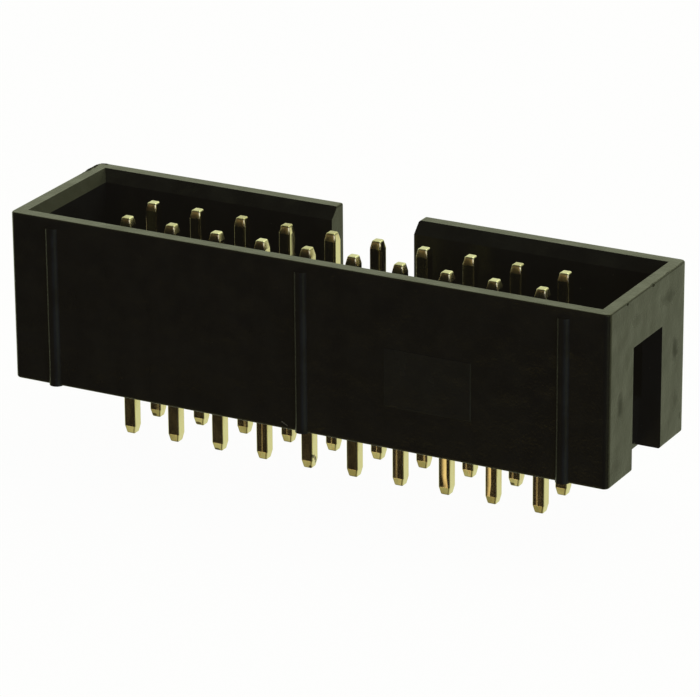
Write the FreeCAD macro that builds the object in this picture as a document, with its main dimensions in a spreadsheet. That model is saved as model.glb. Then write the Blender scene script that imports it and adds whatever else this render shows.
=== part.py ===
"""Box header for a ribbon cable socket: one moulded housing and two rows of square contacts.

The origin is the middle of the contact field on the board. +X runs along the rows, the ribbed and
marked wall faces -Y, the wall with the key slot faces +Y, and +Z points out of the mouth.
"""
import FreeCAD, Part
import os
import Sketcher
from FreeCAD import Vector

# Driving dimensions in millimetres: alias, value, meaning
DIMENSIONS = [
    ("columns", 10, "contacts in a row"),
    ("rows", 2, "rows of contacts"),
    ("pitch", 2.54, "contact spacing, both ways"),
    ("end_margin", 4.945, "last contact's axis to the end face"),
    ("side_margin", 3.105, "row's axis to the long face"),
    ("housing_height", 8.78, "board to rim"),
    ("floor_thickness", 2.45, "board to the cavity's floor"),
    ("long_wall", 1.24, "long wall below the lead-in"),
    ("end_wall", 1.03, "end wall below the lead-in"),
    ("rim_width", 0.66, "flat rim, on all four walls"),
    ("lead_in_depth", 0.55, "depth of the sloped mouth"),
    ("corner_radius", 0.3, "upright outer corners"),
    ("rim_round", 0.08, "outer edge of the rim"),
    ("base_round", 0.12, "outer edge of the base"),
    ("key_slot_width", 4.58, "slot for the socket's key"),
    ("key_slot_round", 0.1, "edges of the rim at the key slot"),
    ("end_slot_width", 3.26, "slot in each end"),
    ("end_slot_height", 6.28, "board to the top of the end slot"),
    ("end_slot_depth", 1.17, "how far the end slot notches the base"),
    ("rib_count", 3, "half-round ribs on the front wall"),
    ("rib_radius", 0.375, "rib's own radius"),
    ("rib_stand_out", 0.24, "how far a rib stands proud"),
    ("rib_inset", 2.375, "outer rib's axis to the end face"),
    ("rib_height", 8.3, "board to the rib's top"),
    ("panel_width", 4.7, "marking panel"),
    ("panel_height", 3.0, "marking panel"),
    ("panel_stand_out", 0.04, "how far the marking panel stands proud"),
    ("panel_centre_x", 6.85, "panel's middle from the header's middle"),
    ("panel_centre_z", 3.7, "panel's middle above the board"),
    ("contact_width", 0.64, "square contact"),
    ("contact_tip_width", 0.46, "flat end of a contact"),
    ("contact_tip_length", 0.42, "tapered end of a contact"),
    ("contact_round", 0.1, "edges of a contact"),
    ("contact_setback", 0.42, "rim to the contact's end"),
    ("tail_length", 3.15, "contact below the board face"),
    ("hole_clearance", 0.03, "gap between a contact and its hole, each side"),
    ("hole_lead_in", 0.15, "sloped mouth of each hole under the base"),
    ("bulge_width", 0.34, "retention bulge across the contact"),
    ("bulge_length", 0.8, "retention bulge along the contact"),
    ("bulge_bottom", 0.85, "board to the retention bulge"),
]

# Lengths that follow from the sheet
FIELD_LENGTH = "(Sizes.columns - 1) * Sizes.pitch"
FIELD_WIDTH = "(Sizes.rows - 1) * Sizes.pitch"
LENGTH = f"({FIELD_LENGTH} + 2 * Sizes.end_margin)"
WIDTH = f"({FIELD_WIDTH} + 2 * Sizes.side_margin)"
HEIGHT = "Sizes.housing_height"
CAVITY_LENGTH = f"{LENGTH} - 2 * Sizes.end_wall"
CAVITY_WIDTH = f"{WIDTH} - 2 * Sizes.long_wall"
MOUTH_LENGTH = f"{LENGTH} - 2 * Sizes.rim_width"
MOUTH_WIDTH = f"{WIDTH} - 2 * Sizes.rim_width"
HOLE_WIDTH = "Sizes.contact_width + 2 * Sizes.hole_clearance"
CONTACT_TOP = "Sizes.housing_height - Sizes.contact_setback"
TIP_SLOPE = "atan((Sizes.contact_width - Sizes.contact_tip_width) / (2 * Sizes.contact_tip_length))"
LEAD_IN_SLOPE = "45 deg"
PANEL_SLOPE = "45 deg"

OUTPUT_FOLDER = "parts"
SKETCH_START_SIZE = 1.0
TOLERANCE = 1e-6


def make_sheet(doc):
    """The spreadsheet that holds every driving dimension under its alias."""
    sheet = doc.addObject("Spreadsheet::Sheet", "Sizes")
    for row, (alias, value, meaning) in enumerate(DIMENSIONS, start=1):
        sheet.set(f"A{row}", meaning)
        sheet.set(f"B{row}", str(value))
        sheet.setAlias(f"B{row}", alias)
    doc.recompute()
    return sheet


def origin_feature(body, role):
    """One of the body's own origin planes or axes."""
    return next(item for item in body.Origin.OriginFeatures if item.Role == role)


def new_sketch(body, name, role, place):
    """An empty sketch on an origin plane, shifted by expressions for its own x, y and z."""
    sketch = body.newObject("Sketcher::SketchObject", name)
    sketch.AttachmentSupport = [(origin_feature(body, role), "")]
    sketch.MapMode = "FlatFace"
    for axis, expression in place.items():
        sketch.setExpression(f".AttachmentOffset.Base.{axis}", expression)
    return sketch


def drive(sketch, name, constraint, expression):
    """Adds a dimension to a sketch and ties it to an expression."""
    index = sketch.addConstraint(constraint)
    sketch.renameConstraint(index, name)
    sketch.setExpression(f"Constraints.{name}", expression)


def rectangle(body, name, role, across, up, place):
    """A rectangle centred on its sketch's origin."""
    sketch = new_sketch(body, name, role, place)
    half = SKETCH_START_SIZE / 2
    corners = [Vector(-half, -half), Vector(half, -half), Vector(half, half), Vector(-half, half)]
    for side in range(4):
        line = Part.LineSegment(corners[side], corners[(side + 1) % 4])
        sketch.addGeometry(line, False)
    for side in range(4):
        sketch.addConstraint(Sketcher.Constraint("Coincident", side, 2, (side + 1) % 4, 1))
    for side in (0, 2):
        sketch.addConstraint(Sketcher.Constraint("Horizontal", side))
    for side in (1, 3):
        sketch.addConstraint(Sketcher.Constraint("Vertical", side))
    sketch.addConstraint(Sketcher.Constraint("Symmetric", 0, 1, 1, 2, -1, 1))
    drive(sketch, "across", Sketcher.Constraint("DistanceX", 0, 1, 0, 2, SKETCH_START_SIZE), across)
    drive(sketch, "up", Sketcher.Constraint("DistanceY", 1, 1, 1, 2, SKETCH_START_SIZE), up)
    return sketch


def circle(body, name, role, radius, place):
    """A circle centred on its sketch's origin."""
    sketch = new_sketch(body, name, role, place)
    sketch.addGeometry(Part.Circle(Vector(), Vector(0, 0, 1), SKETCH_START_SIZE), False)
    sketch.addConstraint(Sketcher.Constraint("Coincident", 0, 3, -1, 1))
    drive(sketch, "radius", Sketcher.Constraint("Radius", 0, SKETCH_START_SIZE), radius)
    return sketch


def feature(body, kind, name, profile, **expressions):
    """A PartDesign feature on a sketch, with its sizes tied to expressions."""
    result = body.newObject(f"PartDesign::{kind}", name)
    result.Profile = profile
    for size, expression in expressions.items():
        result.setExpression(size, expression)
    return result


def require_smaller(doc, before, after):
    """Stops the build when a cut has removed nothing."""
    doc.recompute()
    if after.Shape.Volume > before - TOLERANCE:
        raise RuntimeError(f"{after.Label} cuts nothing")
    return after.Shape.Volume


def linear_pattern(body, name, axis, count, spacing):
    """Copies set out along one of the body's axes at an even spacing."""
    pattern = body.newObject("PartDesign::LinearPattern", name)
    pattern.Direction = (origin_feature(body, axis), [""])
    pattern.Mode = "Spacing"
    pattern.setExpression("Occurrences", count)
    pattern.setExpression("Offset", spacing)
    return pattern


def edge_names(shape, wanted):
    """Names of the edges whose two ends both satisfy a test."""
    names = []
    for number, edge in enumerate(shape.Edges, start=1):
        ends = [vertex.Point for vertex in edge.Vertexes]
        if len(ends) == 2 and wanted(*ends):
            names.append(f"Edge{number}")
    return names


def fillet(doc, body, name, base, wanted, radius):
    """Rounds the chosen edges of the feature made last."""
    doc.recompute()
    result = body.newObject("PartDesign::Fillet", name)
    result.Base = (base, edge_names(base.Shape, wanted))
    result.setExpression("Radius", radius)
    return result


def level(height):
    """A test for edges that lie at one height above the board."""
    return lambda a, b: abs(a.z - height) < TOLERANCE and abs(b.z - height) < TOLERANCE


def upright(a, b):
    """A test for edges that run up and down."""
    return abs(a.z - b.z) > TOLERANCE


def make_block(doc, body):
    """The moulding's outer form, with its corners and outer edges rounded."""
    outline = rectangle(body, "Outline", "XY_Plane", LENGTH, WIDTH, {})
    block = feature(body, "Pad", "Block", outline, Length=HEIGHT)
    corners = fillet(doc, body, "UprightCorners", block, upright, "Sizes.corner_radius")
    rim = fillet(doc, body, "RimEdge", corners, level(float(doc.Sizes.housing_height)), "Sizes.rim_round")
    return fillet(doc, body, "BaseEdge", rim, level(0), "Sizes.base_round")


def cut_cavity(doc, body):
    """The cavity that takes the socket, and the sloped lead-in round its mouth."""
    floor_outline = rectangle(
        body, "CavityOutline", "XY_Plane", CAVITY_LENGTH, CAVITY_WIDTH, {"z": HEIGHT}
    )
    cavity = feature(
        body, "Pocket", "Cavity", floor_outline, Length=f"{HEIGHT} - Sizes.floor_thickness"
    )
    yield cavity

    mouth = rectangle(body, "MouthOutline", "XY_Plane", MOUTH_LENGTH, MOUTH_WIDTH, {"z": HEIGHT})
    throat = rectangle(
        body, "ThroatOutline", "XY_Plane", CAVITY_LENGTH, CAVITY_WIDTH,
        {"z": f"{HEIGHT} - Sizes.lead_in_depth"}
    )
    lead_in = feature(body, "SubtractiveLoft", "LeadIn", mouth)
    lead_in.Sections = [throat]
    lead_in.Ruled = True
    yield lead_in


def cut_key_slot(doc, body):
    """The slot in the rear wall, down to the cavity's floor, with the rim's edges rounded beside it."""
    height = f"({HEIGHT} - Sizes.floor_thickness)"
    outline = rectangle(
        body, "KeySlotOutline", "XZ_Plane", "Sizes.key_slot_width", height,
        {"y": f"Sizes.floor_thickness + {height} / 2", "z": f"-{WIDTH} / 2"}
    )
    slot = feature(body, "Pocket", "KeySlot", outline, Length="Sizes.long_wall")
    slot.Reversed = True
    yield slot

    rim_height = float(doc.Sizes.housing_height)
    half_width = float(doc.Sizes.key_slot_width) / 2

    def rim_at_slot(a, b):
        at_side = abs(abs(a.x) - half_width) < TOLERANCE and abs(a.x - b.x) < TOLERANCE
        return level(rim_height)(a, b) and at_side

    yield fillet(doc, body, "KeySlotRim", slot, rim_at_slot, "Sizes.key_slot_round")


def cut_end_slots(doc, body):
    """The slot in each end: it notches the base and opens into the cavity above the floor."""
    outline = rectangle(
        body, "EndSlotOutline", "YZ_Plane", "Sizes.end_slot_width", "Sizes.end_slot_height",
        {"y": "Sizes.end_slot_height / 2", "z": f"{LENGTH} / 2"}
    )
    slot = feature(body, "Pocket", "EndSlot", outline, Length="Sizes.end_slot_depth")
    yield slot

    mirrored = body.newObject("PartDesign::Mirrored", "OtherEndSlot")
    mirrored.Originals = [slot]
    mirrored.MirrorPlane = (origin_feature(body, "YZ_Plane"), [""])
    body.Tip = mirrored
    yield mirrored


def cut_holes(doc, body):
    """The square holes that carry the contacts, each with a sloped mouth under the base."""
    first = {"x": f"-({FIELD_LENGTH}) / 2", "y": f"-({FIELD_WIDTH}) / 2"}
    outline = rectangle(body, "HoleOutline", "XY_Plane", HOLE_WIDTH, HOLE_WIDTH, first)
    hole = feature(body, "Pocket", "Hole", outline, Length="Sizes.floor_thickness")
    hole.Reversed = True
    yield hole

    mouth_width = f"{HOLE_WIDTH} + 2 * Sizes.hole_lead_in"
    mouth = rectangle(body, "HoleMouthOutline", "XY_Plane", mouth_width, mouth_width, first)
    lead_in = feature(
        body, "Pocket", "HoleLeadIn", mouth, Length="Sizes.hole_lead_in", TaperAngle=f"-{LEAD_IN_SLOPE}"
    )
    lead_in.Reversed = True
    yield lead_in

    field = body.newObject("PartDesign::MultiTransform", "HoleField")
    along = linear_pattern(body, "HolesAlong", "X_Axis", "Sizes.columns", "Sizes.pitch")
    across = linear_pattern(body, "HolesAcross", "Y_Axis", "Sizes.rows", "Sizes.pitch")
    field.Originals = [hole, lead_in]
    field.Transformations = [along, across]
    body.Tip = field
    yield field


def add_panel(body):
    """The low bare panel with sloped edges that the front wall keeps for a marking."""
    outline = rectangle(
        body, "PanelOutline", "XZ_Plane", "Sizes.panel_width", "Sizes.panel_height",
        {"x": "Sizes.panel_centre_x", "y": "Sizes.panel_centre_z", "z": f"{WIDTH} / 2"}
    )
    feature(
        body, "Pad", "MarkingPanel", outline, Length="Sizes.panel_stand_out", TaperAngle=f"-{PANEL_SLOPE}"
    )


def add_ribs(body):
    """The half-round ribs that stand out of the front wall, evenly spaced."""
    outer_rib = f"({LENGTH} / 2 - Sizes.rib_inset)"
    outline = circle(
        body, "RibOutline", "XY_Plane", "Sizes.rib_radius",
        {"x": f"-{outer_rib}", "y": f"-{WIDTH} / 2 + Sizes.rib_radius - Sizes.rib_stand_out"}
    )
    rib = feature(body, "Pad", "Rib", outline, Length="Sizes.rib_height")
    rib_spacing = f"2 * {outer_rib} / (Sizes.rib_count - 1)"
    ribs = linear_pattern(body, "Ribs", "X_Axis", "Sizes.rib_count", rib_spacing)
    ribs.Originals = [rib]
    body.Tip = ribs


def make_housing(doc):
    """The moulded housing."""
    body = doc.addObject("PartDesign::Body", "Housing")
    body.Label = "housing"
    block = make_block(doc, body)
    doc.recompute()
    volume = block.Shape.Volume
    for make_cuts in (cut_cavity, cut_key_slot, cut_end_slots, cut_holes):
        for cut in make_cuts(doc, body):
            volume = require_smaller(doc, volume, cut)
    add_panel(body)
    add_ribs(body)
    return body


def square(body, name, width, height):
    """A centred square at a height above the board."""
    return rectangle(body, name, "XY_Plane", width, width, {"z": height})


def make_contact(doc, number, column, row):
    """One square contact: a straight shank, two tapered ends and the bulge that grips its hole.

    Every edge but the bulge's is slightly rounded, as on drawn wire."""
    body = doc.addObject("PartDesign::Body", f"Contact{number:02d}")
    body.Label = f"pin_{number:02d}"

    shank_bottom = "-Sizes.tail_length + Sizes.contact_tip_length"
    shank_top = f"{CONTACT_TOP} - Sizes.contact_tip_length"
    lower = square(body, "ShankBottom", "Sizes.contact_width", shank_bottom)
    feature(body, "Pad", "Shank", lower, Length=f"{shank_top} - ({shank_bottom})")

    upper = square(body, "ShankTop", "Sizes.contact_width", shank_top)
    feature(
        body, "Pad", "UpperTip", upper, Length="Sizes.contact_tip_length", TaperAngle=f"-{TIP_SLOPE}"
    )
    lower_tip = feature(
        body, "Pad", "LowerTip", lower, Length="Sizes.contact_tip_length", TaperAngle=f"-{TIP_SLOPE}"
    )
    lower_tip.Reversed = True

    bulge_outline = rectangle(
        body, "BulgeOutline", "XY_Plane", HOLE_WIDTH, "Sizes.bulge_width", {"z": "Sizes.bulge_bottom"}
    )
    bulge = feature(body, "Pad", "Bulge", bulge_outline, Length="Sizes.bulge_length")

    lowest = float(doc.Sizes.bulge_bottom)
    highest = lowest + float(doc.Sizes.bulge_length)

    def outside_bulge(a, b):
        return not any(lowest - TOLERANCE < end.z < highest + TOLERANCE for end in (a, b))

    fillet(doc, body, "Edges", bulge, outside_bulge, "Sizes.contact_round")

    body.setExpression(".Placement.Base.x", f"{column} * Sizes.pitch - {FIELD_LENGTH} / 2")
    body.setExpression(".Placement.Base.y", f"{row} * Sizes.pitch - {FIELD_WIDTH} / 2")
    return body


def make_contacts(doc, sheet):
    """Every contact, numbered from the front left corner along each row."""
    contacts = []
    for row in range(int(sheet.rows)):
        for column in range(int(sheet.columns)):
            contacts.append(make_contact(doc, len(contacts) + 1, column, row))
    return contacts


def check(doc, bodies):
    """Stops before anything is written when a feature failed or a body is not one sound solid."""
    for item in doc.Objects:
        if "Invalid" in item.State or "Error" in item.State:
            raise RuntimeError(f"{item.Label} failed: {item.State}")
    for body in bodies:
        shape = body.Shape
        if shape.isNull() or not shape.isValid() or len(shape.Solids) != 1:
            raise RuntimeError(f"{body.Label} is not one sound solid")


def main():
    doc = FreeCAD.newDocument("BoxHeader")
    sheet = make_sheet(doc)
    bodies = [make_housing(doc)] + make_contacts(doc, sheet)
    doc.recompute()
    check(doc, bodies)
    os.makedirs(OUTPUT_FOLDER, exist_ok=True)
    for body in bodies:
        body.Shape.exportStep(os.path.join(OUTPUT_FOLDER, f"{body.Label}.step"))


main()
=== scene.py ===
"""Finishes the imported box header: moulded housing, plated contacts, mould flash and a plain studio."""
import math
import random

import bmesh
import bpy
from bpy.props import FloatProperty, FloatVectorProperty, PointerProperty
from mathutils import Matrix, Vector


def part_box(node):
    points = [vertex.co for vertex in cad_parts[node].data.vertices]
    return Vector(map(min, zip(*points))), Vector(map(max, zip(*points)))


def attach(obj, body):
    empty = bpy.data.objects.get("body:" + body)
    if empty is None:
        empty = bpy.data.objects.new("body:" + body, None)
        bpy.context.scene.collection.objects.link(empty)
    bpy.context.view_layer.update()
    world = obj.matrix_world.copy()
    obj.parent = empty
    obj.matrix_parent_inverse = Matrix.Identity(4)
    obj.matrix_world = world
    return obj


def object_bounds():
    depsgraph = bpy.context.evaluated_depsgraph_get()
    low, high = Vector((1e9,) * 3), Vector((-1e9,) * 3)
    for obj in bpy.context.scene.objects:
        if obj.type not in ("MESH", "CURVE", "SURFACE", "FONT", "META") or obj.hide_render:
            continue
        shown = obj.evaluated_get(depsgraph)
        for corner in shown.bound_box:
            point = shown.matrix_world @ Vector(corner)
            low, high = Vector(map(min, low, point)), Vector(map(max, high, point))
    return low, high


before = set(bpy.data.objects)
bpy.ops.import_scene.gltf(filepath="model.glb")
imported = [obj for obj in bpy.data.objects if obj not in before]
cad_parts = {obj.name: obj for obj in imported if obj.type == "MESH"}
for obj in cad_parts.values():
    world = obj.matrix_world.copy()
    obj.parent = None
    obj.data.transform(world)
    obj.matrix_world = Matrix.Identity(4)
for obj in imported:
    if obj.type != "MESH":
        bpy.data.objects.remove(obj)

bl_info = {
    "name": "Box Header",
    "version": (1, 0, 0),
    "blender": (4, 5, 0),
    "location": "View3D > Sidebar > Box Header",
    "description": "Finishes a shrouded pin header and sets it in a plain studio",
    "category": "Object",
}

MM = 0.001
CAD_LOW, CAD_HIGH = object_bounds()
HOUSING_LOW, HOUSING_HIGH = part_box("housing")
FIRST_PIN_LOW, FIRST_PIN_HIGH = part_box("pin_01")
SECOND_PIN_LOW, SECOND_PIN_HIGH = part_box("pin_02")
PITCH = SECOND_PIN_LOW.x - FIRST_PIN_LOW.x
HALF_FACE = (FIRST_PIN_HIGH.x - FIRST_PIN_LOW.x) / 2
PIN_FOOT = FIRST_PIN_LOW.z
PIN_HEAD = FIRST_PIN_HIGH.z
TIP_LENGTH = 0.42 * MM
TOP_TIP = PIN_HEAD - TIP_LENGTH
TAIL_TIP = PIN_FOOT + TIP_LENGTH
PIN_NAMES = sorted(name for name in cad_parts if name.startswith("pin_"))


def colour_property(name, description, default):
    """A colour in the panel."""
    return FloatVectorProperty(
        name=name, description=description, default=default, subtype="COLOR", size=3, min=0.0, max=1.0
    )


def length_property(name, description, default):
    """A length in the panel."""
    return FloatProperty(
        name=name, description=description, default=default, min=0.0,
        subtype="DISTANCE", unit="LENGTH", precision=6
    )


def share_property(name, description, default):
    """A share in the panel, from none to all."""
    return FloatProperty(
        name=name, description=description, default=default, subtype="FACTOR", min=0.0, max=1.0
    )


def level_property(name, description, default):
    """A brightness in the panel."""
    return FloatProperty(name=name, description=description, default=default, min=0.0)


def angle_property(name, description, degrees):
    """An angle in the panel."""
    return FloatProperty(
        name=name, description=description, default=math.radians(degrees), subtype="ANGLE", unit="ROTATION"
    )


class BoxHeaderHousing(bpy.types.PropertyGroup):
    """Finish of the moulded housing"""

    colour: colour_property("Plastic", "Colour of the moulded plastic", (0.0084, 0.0086, 0.0092))
    dust_colour: colour_property("Dust", "Colour of the dust in the grain", (0.07, 0.07, 0.055))
    worn_colour: colour_property("Worn edge", "Colour of rubbed edges", (0.05, 0.05, 0.038))
    # Painted highlight: a pale bluish colour on the ribs' flanks that face front and right
    flank_highlight_colour: colour_property("Rib haze", "Colour of the ribs' rubbed flanks", (0.015, 0.0185, 0.026))
    gloss_tint: colour_property("Gloss tint", "Tint of the plastic's reflections", (1.0, 1.0, 0.43))
    roughness: share_property("Roughness", "Roughness of the plastic", 0.21)
    roughness_spread: share_property("Roughness spread", "How far the roughness varies", 0.08)
    grain_size: length_property("Grain size", "Width of one grain of the moulded skin", 0.12 * MM)
    grain_depth: length_property("Grain depth", "Depth of the moulded grain", 0.011 * MM)
    mottle_size: length_property("Mottle size", "Width of the soft patches in the skin", 1.5 * MM)
    swell_depth: length_property("Swell depth", "Depth of the soft patches in the skin", 0.055 * MM)
    edge_width: length_property("Edge wear width", "Width of the rubbed band along edges", 0.07 * MM)
    edge_patch: length_property("Edge wear patch", "Length of one rubbed stretch", 0.9 * MM)
    speck_spacing: length_property("Speck spacing", "Distance between specks of dust", 0.45 * MM)
    speck_size: length_property("Speck size", "Width of a speck of dust", 0.035 * MM)


class BoxHeaderContacts(bpy.types.PropertyGroup):
    """Finish of the plated contacts"""

    colour: colour_property("Plating", "Colour of the plating", (0.86, 0.765, 0.47))
    copper_colour: colour_property("Thin plating", "Colour of the base metal below", (0.72, 0.45, 0.24))
    end_colour: colour_property("Cut end", "Colour of the plating on the cut ends", (0.60, 0.565, 0.37))
    # Duller ends vary from contact to contact. On the tails this tint falls only on the front and back
    # chamfers, as painted shade.
    end_dull_and_shade_tint: colour_property("End dulling", "Tint of the dullest contact's ends", (0.64, 0.60, 0.50))
    roughness: share_property("Roughness", "Roughness of the plating", 0.15)
    roughness_spread: share_property("Roughness spread", "How far the roughness varies", 0.08)
    tip_roughness: share_property("Tip roughness", "Roughness added at the coined tips", 0.15)
    tip_dome: share_property("Tip dome", "How far the tips' faces bulge, as a slope at their sides", 0.20)
    stripe_tilt: share_property("Stripe tilt", "How far the stripes face down, as a slope", 0.123)
    line_width: length_property("Line width", "Width of a drawing line along the wire", 0.05 * MM)
    line_length: length_property("Line length", "Length of a drawing line along the wire", 2.2 * MM)
    line_depth: length_property("Line depth", "Depth of the drawing lines", 0.0012 * MM)
    grain_size: length_property("Grain size", "Width of one grain of the plating", 0.06 * MM)
    grain_depth: length_property("Grain depth", "Depth of the plating's grain", 0.0008 * MM)


class BoxHeaderFlash(bpy.types.PropertyGroup):
    """Ragged mould flash left along a few edges"""

    height: length_property("Height", "How far the flash stands out", 0.075 * MM)
    thickness: length_property("Thickness", "Thickness of the flash at its root", 0.05 * MM)
    step: length_property("Step", "Length of one tooth of the ragged edge", 0.07 * MM)
    root: length_property("Root", "How deep the flash is rooted in the moulding", 0.05 * MM)


class BoxHeaderStage(bpy.types.PropertyGroup):
    """Floor, light and camera"""

    floor_size: length_property("Floor size", "Side of the square floor", 2.4)
    floor_colour: colour_property("Floor", "Colour of the floor", (1.0, 1.0, 0.995))
    light_tint: colour_property("Light tint", "Tint of the studio light", (0.93, 1.0, 0.70))
    sweep_low: level_property("Sweep below", "Brightness of the pale sweep below the eye", 0.80)
    sweep_high: level_property("Sweep above", "Brightness of the pale sweep above the eye", 1.08)
    table_colour: colour_property("Table", "Light of the table below the part", (0.43, 0.44, 0.24))
    room_colour: colour_property("Room", "Light of the dark room in front", (0.016, 0.0120, 0.0065))
    glow_colour: colour_property("Glow", "Warm light of the room just above the eye", (0.34, 0.255, 0.13))
    window_colour: colour_property("Window", "Tint of the window to the right", (0.62, 0.76, 1.0))
    window_strength: level_property("Window strength", "Brightness of the window to the right", 1.6)
    lamp_colour: colour_property("Lamp", "Tint of the small warm lamp in front", (1.0, 0.74, 0.40))
    lamp_strength: level_property("Lamp strength", "Brightness of the small warm lamp in front", 0.95)
    softbox_power: FloatProperty(
        name="Softbox", description="Power of the overhead softbox", default=0.35, min=0.0, unit="POWER"
    )
    camera_turn: angle_property("Camera turn", "Camera's angle round the part", 28.2169)
    camera_rise: angle_property("Camera rise", "Camera's angle above the board", 20.6663)
    camera_roll: angle_property("Camera roll", "Camera's tilt about its own axis", -0.3883)
    camera_distance: length_property("Camera distance", "Camera to the board's middle", 222.5646 * MM)
    camera_right: length_property("Camera right", "Camera's offset to its own right", 0.301 * MM)
    camera_up: length_property("Camera up", "Camera's offset upwards", 2.7014 * MM)
    focal_length: FloatProperty(
        name="Focal length", description="Focal length in millimetres", default=231.64, min=1.0
    )


# Node helpers


def put(tree, kind, inputs=None, **settings):
    """Adds a node, sets its properties, and feeds each input with a value or another node's output."""
    made = tree.nodes.new(kind)
    for name, value in settings.items():
        setattr(made, name, value)
    for key, value in (inputs or {}).items():
        socket = made.inputs[key]
        if isinstance(value, bpy.types.NodeSocket):
            tree.links.new(value, socket)
        else:
            socket.default_value = value
    return made


def calculate(tree, operation, *values, clamp=False):
    """A Math node's output."""
    inputs = dict(enumerate(values))
    return put(tree, "ShaderNodeMath", inputs, operation=operation, use_clamp=clamp).outputs[0]


def product(tree, first, *others):
    """Several values multiplied."""
    for other in others:
        first = calculate(tree, "MULTIPLY", first, other)
    return first


def inverse(tree, value):
    """One divided by a value."""
    return calculate(tree, "DIVIDE", 1.0, value)


def rest_of(tree, value):
    """What a share leaves of one."""
    return calculate(tree, "SUBTRACT", 1.0, value)


def vector_of(tree, operation, *values):
    """A Vector Math node whose output is a vector."""
    inputs = dict(enumerate(values))
    return put(tree, "ShaderNodeVectorMath", inputs, operation=operation).outputs["Vector"]


def length_of(tree, operation, *values):
    """A Vector Math node whose output is a number."""
    inputs = dict(enumerate(values))
    return put(tree, "ShaderNodeVectorMath", inputs, operation=operation).outputs["Value"]


def scaled(tree, vector, factor):
    """A vector or colour times a value."""
    inputs = {0: tuple(vector), "Scale": factor}
    return put(tree, "ShaderNodeVectorMath", inputs, operation="SCALE").outputs["Vector"]


def joined(tree, x, y, z):
    """A vector of three values."""
    return put(tree, "ShaderNodeCombineXYZ", {"X": x, "Y": y, "Z": z}).outputs[0]


def parts_of(tree, vector):
    """The three values of a vector."""
    return put(tree, "ShaderNodeSeparateXYZ", {"Vector": vector}).outputs


def ramp(tree, value, start, end, low=0.0, high=1.0):
    """A smooth step from low to high while the value goes from start to end."""
    inputs = {"Value": value, "From Min": start, "From Max": end, "To Min": low, "To Max": high}
    return put(tree, "ShaderNodeMapRange", inputs, interpolation_type="SMOOTHSTEP").outputs["Result"]


def noise(tree, place, scale, detail, roughness=0.5):
    """Soft noise round a half."""
    inputs = {"Vector": place, "Scale": scale, "Detail": detail, "Roughness": roughness}
    return put(tree, "ShaderNodeTexNoise", inputs).outputs["Fac"]


def opaque(colour):
    """A colour with its alpha."""
    return (*colour, 1.0)


def shaded(colour, level):
    """A colour made darker or lighter, with its alpha."""
    return opaque(value * level for value in colour)


def blend_colours(tree, share, first, second):
    """A colour between two colours."""
    return put(tree, "ShaderNodeMix", {0: share, 6: first, 7: second}, data_type="RGBA").outputs[2]


def tint(tree, below, mask, strength, colour):
    """A colour laid over the one below, as strongly as given, where the mask is full."""
    return blend_colours(tree, calculate(tree, "MULTIPLY", mask, strength), below, colour)


def object_place(tree):
    """The surface point in the part's own frame."""
    return put(tree, "ShaderNodeTexCoord").outputs["Object"]


def surface_normal(tree):
    """The way that the surface faces."""
    return put(tree, "ShaderNodeNewGeometry").outputs["Normal"]


def new_group(name, inputs, outputs):
    """An empty shader node group with named sockets, and its inner input and output nodes."""
    tree = bpy.data.node_groups.new(name, "ShaderNodeTree")
    for label, kind, value in inputs:
        tree.interface.new_socket(name=label, in_out="INPUT", socket_type=kind).default_value = value
    for label, kind in outputs:
        tree.interface.new_socket(name=label, in_out="OUTPUT", socket_type=kind)
    return tree, tree.nodes.new("NodeGroupInput").outputs, tree.nodes.new("NodeGroupOutput").inputs


def use_group(tree, name, make, inputs):
    """Places a shared effect in a material with its own values, making it the first time."""
    group = bpy.data.node_groups.get(name) or make(name)
    return put(tree, "ShaderNodeGroup", inputs, node_tree=group).outputs


# Effects shared by the materials

FLOAT = "NodeSocketFloat"
VECTOR = "NodeSocketVector"

# How far the rounded surface turns away from the flat one where an edge starts and where it is full
EDGE_TURN = (0.01, 0.22)

# An edge is rubbed where the noise is above the threshold. Full cover lowers that by the range.
RUB_THRESHOLD = 0.75
RUB_RANGE = 0.5
RUB_SOFTNESS = 0.06

# The smallest speck beside the size given
SMALLEST_SPECK = 0.35

# Length of one bump in the border of a mark
MARK_BUMP = 0.22 * MM

# The broad streaks along a wire: their fineness beside the fine lines', and their place in the noise
STREAK_FINENESS = (0.45, 0.45, 0.6)
STREAK_PLACE = (7.3, 2.1, 4.4)

# The noise at which the patches of roughness start and are full
ROUGH_PATCHES = (0.3, 0.7)


def make_grain(name):
    """Fine grain, mottle and soft swell of a surface."""
    tree, given, wanted = new_group(
        name,
        [("Grain Size", FLOAT, 0.0001), ("Mottle Size", FLOAT, 0.001), ("Stretch", FLOAT, 1.0)],
        [("Height", FLOAT), ("Mottle", FLOAT), ("Swell", FLOAT)],
    )
    place = object_place(tree)
    stretched = vector_of(tree, "MULTIPLY", place, joined(tree, 1.0, 1.0, given["Stretch"]))
    grain_scale = inverse(tree, given["Grain Size"])
    patch_scale = inverse(tree, given["Mottle Size"])
    grain = noise(tree, place, grain_scale, detail=2.0, roughness=0.6)
    mottle = noise(tree, stretched, patch_scale, detail=5.0, roughness=0.62)
    swell = noise(tree, place, patch_scale, detail=1.5, roughness=0.45)
    tree.links.new(grain, wanted["Height"])
    tree.links.new(mottle, wanted["Mottle"])
    tree.links.new(swell, wanted["Swell"])
    return tree


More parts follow.
